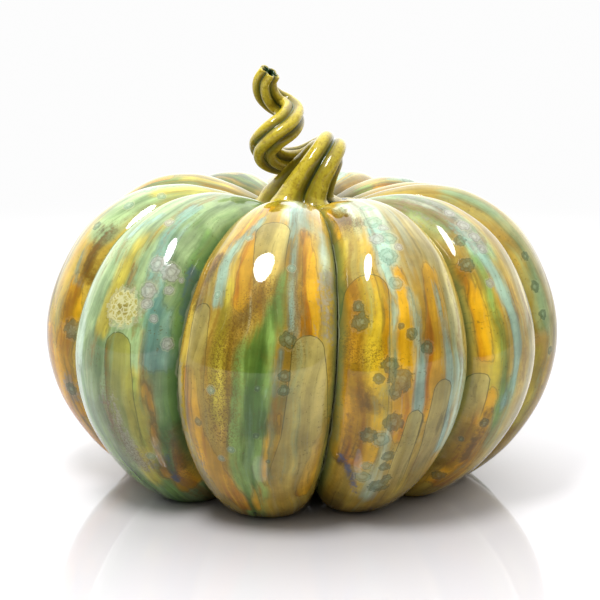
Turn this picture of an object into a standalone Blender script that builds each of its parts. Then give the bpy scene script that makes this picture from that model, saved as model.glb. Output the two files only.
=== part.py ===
"""A glazed stoneware pumpkin: a hollow ribbed body, and a hollow fluted stem that curls up from its crown.

The body is one thrown and pressed shell with a foot of small flats at z = 0. The stem is an extruded five-flute
tube. A coil of slip inside the stem's root lutes it to the crown. Up is +Z and the front is -Y.
"""

import math

import bmesh
import bpy
import numpy as np

# Driving dimensions, in metres.
BODY_RADIUS = 0.1485  # to the crest of a rib, half-way up
BODY_HEIGHT = 0.171  # from the foot to the top of the shoulders
GROOVE_DEPTH = 0.023  # between two ribs, where it is deepest
BODY_WALL = 0.006
CROWN_OPENING_RADIUS = 0.008  # under the stem: the body's air leaves through the stem
VENT_RADIUS = 0.005  # in the middle of the base
STEM_RADIUS = 0.0136  # of the trunk, to the crest of a flute
STEM_WALL = 0.0018
STEM_RISE = 0.0782  # from the crown's seat to the middle of the open tip
LUTING_HEIGHT = 0.003  # above the crown's seat
LUTING_WALLS = 2.0  # the stem's wall leans at the root, so the slip meets it this many thicknesses inwards
CLEARANCE = 0.0005  # set between pieces that touch, square to the rib crests

# The crest of a rib from crown to base: share of the radius, share of the height, share of the groove depth.
CREST = (
    (0.148, 0.924, 0.17),
    (0.222, 0.950, 0.23),
    (0.337, 0.982, 0.44),
    (0.485, 1.000, 0.78),
    (0.660, 0.971, 1.00),
    (0.835, 0.865, 1.00),
    (0.956, 0.684, 1.00),
    (1.000, 0.497, 1.00),
    (0.956, 0.304, 1.00),
    (0.835, 0.135, 1.00),
    (0.687, 0.020, 1.00),
    (0.552, -0.030, 0.91),
    (0.417, -0.004, 0.62),
    (0.296, 0.064, 0.30),
    (0.148, 0.094, 0.13),
)
CROWN_SEAT = 0.915  # height of the crown opening's edge, as a share of the body's height
BASE_DOME = 0.098  # height of the vent's edge, as a share of the body's height

# Each rib, anticlockwise from the front: width in degrees, swell of its crest and of its lower flank in metres.
RIBS = (
    (34.0, -0.0025, 0.001),
    (28.5, -0.0030, 0.0),
    (25.0, 0.0, 0.0),
    (24.0, -0.0030, 0.0),
    (24.5, -0.0025, 0.0),
    (25.0, 0.0, 0.0),
    (28.0, 0.0, 0.0),
    (31.0, 0.0005, 0.0),
    (32.0, 0.0030, 0.0),
    (34.0, 0.0010, 0.0),
    (36.0, 0.0005, 0.001),
    (38.0, -0.0025, 0.004),
)
FIRST_GROOVE = 7.5  # degrees from the front
SPIRAL = 9.7  # degrees that a groove turns from crown to base
SPIRAL_MIDDLE = 0.49  # how far down a groove keeps its own angle
FLANK_MIDDLE = 0.714  # how far down the lower flank swells most
FLANK_REACH = 0.186
RIB_FULLNESS = 2.3  # a rib's section is (1 - |u| ** fullness) ** 0.5

# The stem's middle line: x and y in millimetres, height as a share of the rise, radius as a share of the trunk's,
# and the turn of its flutes in degrees. It leans to the right, passes behind itself and winds up to the left.
STEM_LINE = (
    (0.0, 0.0, -0.115, 2.94, 0),
    (0.0, 0.0, -0.028, 2.94, 0),
    (0.0, 0.0, 0.017, 2.43, 0),
    (0.0, 0.0, 0.075, 1.84, 0),
    (1.4, -1.0, 0.145, 1.37, -4),
    (4.6, -2.0, 0.228, 1.16, -6),
    (9.2, -2.0, 0.324, 1.00, -8),
    (13.3, 3.0, 0.405, 0.90, -8),
    (14.0, 14.0, 0.422, 0.78, -8),
    (9.5, 25.0, 0.379, 0.71, -8),
    (-1.2, 29.0, 0.321, 0.65, -10),
    (-13.0, 22.0, 0.322, 0.63, -12),
    (-20.7, 9.0, 0.384, 0.65, -14),
    (-22.1, -4.0, 0.473, 0.66, -16),
    (-17.0, -12.0, 0.554, 0.68, -18),
    (-9.7, -9.0, 0.624, 0.68, -18),
    (-7.2, 1.0, 0.687, 0.65, -16),
    (-11.0, 9.0, 0.738, 0.60, -14),
    (-16.8, 9.0, 0.783, 0.57, -10),
    (-21.0, 4.0, 0.852, 0.56, -4),
    (-22.0, 0.0, 0.935, 0.53, 0),
    (-19.1, -2.0, 1.000, 0.49, 0),
)
FLUTES = 5
FLUTE_FLOOR = 0.62  # radius between two flutes, as a share of the radius on them
FLUTE_ROUNDING = 0.75
FLUTE_START = 20.0  # degrees from +X to the first flute, at the root

# How finely each surface is cut into faces.
STEPS_PER_RIB = 6
BODY_RINGS = 26
STEPS_PER_FLUTE = 4
STEM_RINGS = 46
LUTING_STEPS = 48
LUTING_ARC_STEPS = 4
SPLINE_STEPS = 24  # between two given points


def clear_scene():
    for item in list(bpy.data.objects):
        bpy.data.objects.remove(item, do_unlink=True)


def collection_named(name, hidden=False):
    made = bpy.data.collections.new(name)
    made.hide_render = hidden
    bpy.context.scene.collection.children.link(made)
    return made


def finish_named(name, colour, roughness):
    made = bpy.data.materials.new(name)
    made.use_nodes = True
    shader = made.node_tree.nodes["Principled BSDF"]
    shader.inputs["Base Color"].default_value = (*colour, 1.0)
    shader.inputs["Roughness"].default_value = roughness
    shader.inputs["Metallic"].default_value = 0.0
    return made


def smooth_line(points):
    """A Catmull-Rom curve through rows of any width; the first three numbers or fewer are its place."""
    rows = np.array(points, float)
    rows = np.vstack([2 * rows[0] - rows[1], rows, 2 * rows[-1] - rows[-2]])
    steps = np.linspace(0, 1, SPLINE_STEPS, endpoint=False)[:, None]
    spans = []
    for a, b, c, d in zip(rows, rows[1:], rows[2:], rows[3:]):
        bend = (2 * a - 5 * b + 4 * c - d) * steps**2 + (3 * b - a - 3 * c + d) * steps**3
        spans.append(b + 0.5 * ((c - a) * steps + bend))
    return np.vstack([*spans, rows[-2]])


def evenly(line, count, place):
    """The same curve as count rows, evenly spaced along its first place columns."""
    lengths = np.linalg.norm(np.diff(line[:, :place], axis=0), axis=1)
    along = np.concatenate([[0.0], np.cumsum(lengths)])
    wanted = np.linspace(0.0, along[-1], count)
    return np.stack([np.interp(wanted, along, column) for column in line.T], axis=1)


def crest_rows(count):
    """Radius, height and groove depth down a rib's crest, from the crown opening to the vent."""
    rows = [(CROWN_OPENING_RADIUS, CROWN_SEAT * BODY_HEIGHT, 0.0)]
    rows += [(r * BODY_RADIUS, z * BODY_HEIGHT, depth * GROOVE_DEPTH) for r, z, depth in CREST]
    rows.append((VENT_RADIUS, BASE_DOME * BODY_HEIGHT, 0.0))
    return evenly(smooth_line(rows), count, 2)


def rib_place(step):
    """Angle in degrees, u across the rib from -1 to 1, and the swells, at one step round the body."""
    rib = step // STEPS_PER_RIB
    width, swell, flank = RIBS[rib]
    u = -math.cos(math.pi * (step % STEPS_PER_RIB) / STEPS_PER_RIB)
    start = FIRST_GROOVE + sum(width for width, _, _ in RIBS[:rib])
    return start + width * (u + 1) / 2, u, swell, flank


def body_points(grow=0.0):
    """Points of the glazed surface, pushed out by grow: one row for each ring, one column for each step round."""
    crest = crest_rows(BODY_RINGS)
    along = np.gradient(crest[:, :2], axis=0)
    along /= np.linalg.norm(along, axis=1)[:, None]
    down = np.linspace(0.0, 1.0, BODY_RINGS)
    turn = np.radians(SPIRAL * (SPIRAL_MIDDLE - down))
    low = np.clip(1 - ((down - FLANK_MIDDLE) / FLANK_REACH) ** 2, 0, None) ** 2
    columns = []
    for step in range(len(RIBS) * STEPS_PER_RIB):
        angle, u, swell, flank = rib_place(step)
        full = (1 - abs(u) ** RIB_FULLNESS) ** 0.5
        depth = np.clip(crest[:, 2], 0, None)
        out = grow - depth * (1 - full) + (depth / GROOVE_DEPTH * swell + low * flank) * full
        radius = crest[:, 0] - out * along[:, 1]
        height = np.maximum(crest[:, 1] + out * along[:, 0], -grow)
        around = math.radians(angle) + turn
        columns.append(np.stack([radius * np.sin(around), -radius * np.cos(around), height], axis=1))
    return np.stack(columns, axis=1)


def middle_of_body():
    """Where the middle of the body's box would lie if the crown and the vent stood over the origin."""
    points = body_points().reshape(-1, 3)
    middle = (points.min(axis=0) + points.max(axis=0)) / 2
    return (middle[0], middle[1], 0.0)


def body_mesh(name, grow=0.0, closed=False):
    """A sphere's grid moved onto the body. The rings next to its poles become the two openings' edges."""
    points = body_points(grow)
    around = points.shape[1]
    form = bmesh.new()
    bmesh.ops.create_uvsphere(form, u_segments=around, v_segments=BODY_RINGS + 1, radius=1.0)
    poles = []
    for vert in form.verts:
        ring = round(math.acos(max(-1.0, min(1.0, vert.co.z))) / math.pi * (BODY_RINGS + 1)) - 1
        step = round(math.atan2(vert.co.x, -vert.co.y) / math.tau * around) % around
        if 0 <= ring < BODY_RINGS:
            vert.co = points[ring, step]
        else:
            vert.co = (0.0, 0.0, points[max(0, min(ring, BODY_RINGS - 1)), :, 2].mean())
            poles.append(vert)
    if not closed:
        bmesh.ops.delete(form, geom=poles, context="VERTS")
    return mesh_from(form, name)


def stem_line():
    """Rows down the stem from its root to its tip: the middle's place, the radius on a flute, and its turn."""
    seat = CROWN_SEAT * BODY_HEIGHT
    rows = []
    for x, y, share, size, roll in STEM_LINE:
        rows.append((x / 1000, y / 1000, seat + share * STEM_RISE, size * STEM_RADIUS, roll))
    return evenly(smooth_line(rows), STEM_RINGS, 3)


def stem_points():
    """Rings of the stem's outer surface from below its seat to the tip. A ring's frame slides along without twist."""
    line = stem_line()
    middle = line[:, :3]
    ahead = np.gradient(middle, axis=0)
    ahead /= np.linalg.norm(ahead, axis=1)[:, None]
    steps = np.arange(FLUTES * STEPS_PER_FLUTE) * math.tau / (FLUTES * STEPS_PER_FLUTE)
    flute = FLUTE_FLOOR + (1 - FLUTE_FLOOR) * np.abs(np.cos(FLUTES * steps / 2)) ** FLUTE_ROUNDING
    side = np.array([1.0, 0.0, 0.0])
    rings = []
    for centre, heading, size, roll in zip(middle, ahead, line[:, 3], line[:, 4]):
        side = side - heading * np.dot(side, heading)
        side /= np.linalg.norm(side)
        other = np.cross(heading, side)
        angle = (steps + math.radians(FLUTE_START + roll))[:, None]
        radius = (size * flute)[:, None]
        rings.append(centre + radius * (np.cos(angle) * side + np.sin(angle) * other))
    return np.stack(rings)


def stem_mesh(name):
    """A flat grid rolled into the fluted tube, and welded where its long edges meet."""
    points = stem_points()
    rings, around = points.shape[:2]
    form = bmesh.new()
    bmesh.ops.create_grid(form, x_segments=around, y_segments=rings - 1, size=0.5)
    for vert in form.verts:
        step = round((vert.co.x + 0.5) * around) % around
        vert.co = points[round((vert.co.y + 0.5) * (rings - 1)), step]
    bmesh.ops.remove_doubles(form, verts=form.verts, dist=1e-6)
    return mesh_from(form, name)


def luting_mesh(name):
    """A ring of slip inside the stem's root, round the crown opening, as a profile for a Screw."""
    seat = CROWN_SEAT * BODY_HEIGHT
    high = seat + LUTING_HEIGHT
    root = stem_line()[: STEM_RINGS // 4]
    narrowest = np.interp(high, root[:, 2], root[:, 3]) * FLUTE_FLOOR
    inner = CROWN_OPENING_RADIUS + CLEARANCE
    outer = narrowest - LUTING_WALLS * STEM_WALL - CLEARANCE
    rounding = LUTING_HEIGHT / 2
    profile = [(inner, seat - GROOVE_DEPTH / 2), (inner, high)]
    for step in range(LUTING_ARC_STEPS + 1):
        angle = math.pi / 2 * (1 - step / LUTING_ARC_STEPS)
        profile.append((outer - rounding * (1 - math.cos(angle)), high - rounding * (1 - math.sin(angle))))
    profile.append((outer, seat - GROOVE_DEPTH / 2))
    form = bmesh.new()
    verts = [form.verts.new((r, 0.0, z)) for r, z in profile]
    for first, second in zip(verts, verts[1:] + verts[:1]):
        form.edges.new((first, second))
    return mesh_from(form, name)


def mesh_from(form, name):
    made = bpy.data.meshes.new(name)
    form.to_mesh(made)
    form.free()
    made.shade_smooth()
    return made


def object_in(group, mesh, origin, material=None):
    made = bpy.data.objects.new(mesh.name, mesh)
    made.parent = origin
    group.objects.link(made)
    if material:
        made.data.materials.append(material)
    if group.hide_render:
        made.hide_render = True
        made.display_type = "WIRE"
    return made


def add_wall(item, thickness):
    """Thickness goes inwards from the modelled surface."""
    wall = item.modifiers.new("wall", "SOLIDIFY")
    wall.thickness = thickness
    wall.offset = -1.0


def add_cut(item, cutter):
    cut = item.modifiers.new("cut by " + cutter.name, "BOOLEAN")
    cut.operation = "DIFFERENCE"
    cut.solver = "EXACT"
    cut.object = cutter


def add_turn(item):
    turn = item.modifiers.new("turn", "SCREW")
    turn.steps = LUTING_STEPS
    turn.render_steps = LUTING_STEPS
    turn.use_normal_calculate = True
    turn.use_merge_vertices = True
    turn.merge_threshold = 1e-6


def main():
    clear_scene()
    pieces = collection_named("stoneware_pumpkin")
    cutters = collection_named("cutters", hidden=True)
    glaze = finish_named("crystalline_glaze", (0.42, 0.36, 0.14), 0.08)
    stem_glaze = finish_named("olive_glaze", (0.21, 0.19, 0.04), 0.08)
    slip = finish_named("fired_slip", (0.55, 0.48, 0.38), 0.7)

    origin = bpy.data.objects.new("axis_of_ribs", None)
    origin.location = [-place for place in middle_of_body()]
    pieces.objects.link(origin)

    body = object_in(pieces, body_mesh("body_shell"), origin, glaze)
    add_wall(body, BODY_WALL)

    crown_cutter = object_in(cutters, body_mesh("crown_cutter", CLEARANCE, closed=True), origin)

    root_cutter = object_in(cutters, stem_mesh("root_cutter"), origin)
    add_wall(root_cutter, STEM_WALL + CLEARANCE)

    luting = object_in(pieces, luting_mesh("luting_ring"), origin, slip)
    add_turn(luting)
    add_cut(luting, crown_cutter)
    add_cut(luting, root_cutter)

    stem = object_in(pieces, stem_mesh("stem"), origin, stem_glaze)
    add_wall(stem, STEM_WALL)
    add_cut(stem, crown_cutter)


main()
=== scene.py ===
"""The looks of a glazed stoneware pumpkin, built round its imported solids.

Lengths are metres, up is +Z and the front is -Y. A place on the body is a rib's number, how far across
the rib it lies (-1 at its left groove, 1 at its right one, seen from outside) and how far down its
crest (0 at the crown opening, 1 at the vent). Glaze runs and crystals are laid at such places. Their
fine edges come from the shader.
"""

import logging
import math
from dataclasses import dataclass
from enum import Enum

import bpy
import numpy as np
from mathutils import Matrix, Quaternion, Vector
from mathutils.bvhtree import BVHTree


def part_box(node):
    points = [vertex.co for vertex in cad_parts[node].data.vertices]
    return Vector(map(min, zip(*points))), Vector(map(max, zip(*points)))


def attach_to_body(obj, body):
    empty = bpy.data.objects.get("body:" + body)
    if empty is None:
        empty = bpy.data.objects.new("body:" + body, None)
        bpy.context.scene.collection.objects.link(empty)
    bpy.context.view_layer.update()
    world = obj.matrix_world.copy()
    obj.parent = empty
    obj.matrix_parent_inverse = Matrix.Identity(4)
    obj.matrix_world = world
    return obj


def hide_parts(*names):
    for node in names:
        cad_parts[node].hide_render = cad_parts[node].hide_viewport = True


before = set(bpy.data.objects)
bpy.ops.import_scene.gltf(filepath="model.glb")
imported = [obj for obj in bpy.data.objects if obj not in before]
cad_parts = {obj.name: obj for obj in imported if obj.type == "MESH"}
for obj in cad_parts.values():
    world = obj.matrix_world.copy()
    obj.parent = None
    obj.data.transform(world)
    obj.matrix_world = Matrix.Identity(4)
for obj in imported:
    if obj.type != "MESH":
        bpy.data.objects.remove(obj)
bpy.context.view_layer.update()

LOG = logging.getLogger("pumpkin")

Colour = tuple[float, float, float]
Socket = bpy.types.NodeSocket


# ------------------------------------------------------------------------------ curves


def smooth_line(rows: list[tuple[float, ...]], steps: int = 24) -> np.ndarray:
    """Draws a Catmull-Rom curve through rows of any width.

    Args:
        rows: The given points, each with its place first.
        steps: How many points each span gets.

    Returns:
        The curve's rows, both ends included.
    """
    given = np.array(rows, float)
    given = np.vstack([2 * given[0] - given[1], given, 2 * given[-1] - given[-2]])
    part = np.linspace(0, 1, steps, endpoint=False)[:, None]
    spans = []
    for a, b, c, d in zip(given, given[1:], given[2:], given[3:]):
        bend = (2 * a - 5 * b + 4 * c - d) * part**2 + (3 * b - a - 3 * c + d) * part**3
        spans.append(b + 0.5 * ((c - a) * part + bend))
    return np.vstack([*spans, given[-2]])


def evenly(line: np.ndarray, count: int, place: int) -> np.ndarray:
    """Spaces a curve's rows evenly.

    Args:
        line: The curve's rows.
        count: How many rows to give back.
        place: How many of the first columns are its place.

    Returns:
        The same curve as count rows.
    """
    lengths = np.linalg.norm(np.diff(line[:, :place], axis=0), axis=1)
    along = np.concatenate([[0.0], np.cumsum(lengths)])
    wanted = np.linspace(0.0, along[-1], count)
    return np.stack([np.interp(wanted, along, column) for column in line.T], axis=1)


def grid_faces(rings: int, around: int, closed: bool = False) -> list[tuple[int, int, int, int]]:
    """Lists the faces between rings of points that close on themselves.

    Args:
        rings: How many rings there are.
        around: How many points each ring has.
        closed: Whether the last ring is joined to the first.

    Returns:
        Four point numbers for each face.
    """
    faces = []
    for ring in range(rings if closed else rings - 1):
        low, high = ring * around, (ring + 1) % rings * around
        for step in range(around):
            after = (step + 1) % around
            faces.append((low + step, high + step, high + after, low + after))
    return faces


def mesh_object(name: str, points: np.ndarray, faces: list[tuple[int, ...]]) -> bpy.types.Object:
    """Makes a smooth-shaded mesh object in the scene.

    Args:
        name: The piece's name.
        points: Its points, one a row.
        faces: The point numbers of each face.

    Returns:
        The new object.
    """
    mesh = bpy.data.meshes.new(name)
    mesh.from_pydata(points.tolist(), [], faces)
    mesh.shade_smooth()
    mesh.validate()
    made = bpy.data.objects.new(name, mesh)
    bpy.context.scene.collection.objects.link(made)
    return made


def store(item: bpy.types.Object, name: str, values: np.ndarray) -> None:
    """Stores one number, or one vector, for each point of a mesh.

    Args:
        item: The mesh object.
        name: The attribute's name.
        values: One row or number for each point.
    """
    kind, key = ("FLOAT", "value") if values.ndim == 1 else ("FLOAT_VECTOR", "vector")
    made = item.data.attributes.new(name, kind, "POINT")
    made.data.foreach_set(key, values.astype(np.float32).ravel())


# ------------------------------------------------------------------------------ glaze plan


class Wash(Enum):
    """What runs down the body: colours of glaze, the lowest layer first, and brown dust in them."""

    SAGE = "sage"
    FOAM = "foam"
    CREAM = "cream"
    GOLD = "gold"
    LEAF = "leaf"
    AMBER = "amber"
    SKY = "sky"
    MOSS = "moss"
    STRAW = "straw"
    TAN = "tan"
    OLIVE = "olive"
    BRONZE = "bronze"
    UMBER = "umber"
    GREY = "grey"
    INK = "ink"
    DUST = "dust"


class Bloom(Enum):
    """The kinds of crystal that grew in the glaze."""

    LILAC = "lilac"
    MOSS = "moss"
    ICE = "ice"
    LACE = "lace"


Spots = dict[Bloom, list[tuple[Vector, float]]]  # the middle and radius of each kind's crystals


@dataclass(frozen=True)
class Run:
    """A run of one colour down a rib: the places it passes, and half its width at its start and its end."""

    wash: Wash
    rib: int
    places: tuple[tuple[float, float], ...]
    start: float
    end: float


@dataclass(frozen=True)
class Crystal:
    """A round crystal on a rib."""

    bloom: Bloom
    rib: int
    across: float
    down: float
    radius: float


MM = 0.001
FIELD_REACH = 0.012  # a run's field falls from 1 to 0 this far inside and outside its edge
FADE_MARGIN = 0.003  # a tongue's fading is stored this far past its edge


def runs(wash: Wash, rib: int, *bands: tuple[float, float, tuple[tuple[float, float], ...]]) -> list[Run]:
    """Lists runs of one colour on one rib.

    Args:
        wash: Their colour.
        rib: The rib's number.
        bands: Half the width at the start and the end, in millimetres, and the places of each.

    Returns:
        One run for each band.
    """
    return [Run(wash, rib, places, start * MM, end * MM) for start, end, places in bands]


def crystals(bloom: Bloom, rib: int, *spots: tuple[float, float, float]) -> list[Crystal]:
    """Lists crystals of one kind on one rib.

    Args:
        bloom: Their kind.
        rib: The rib's number.
        spots: How far across and down each lies, and its radius in millimetres.

    Returns:
        One crystal for each spot.
    """
    return [Crystal(bloom, rib, across, down, radius * MM) for across, down, radius in spots]


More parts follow.
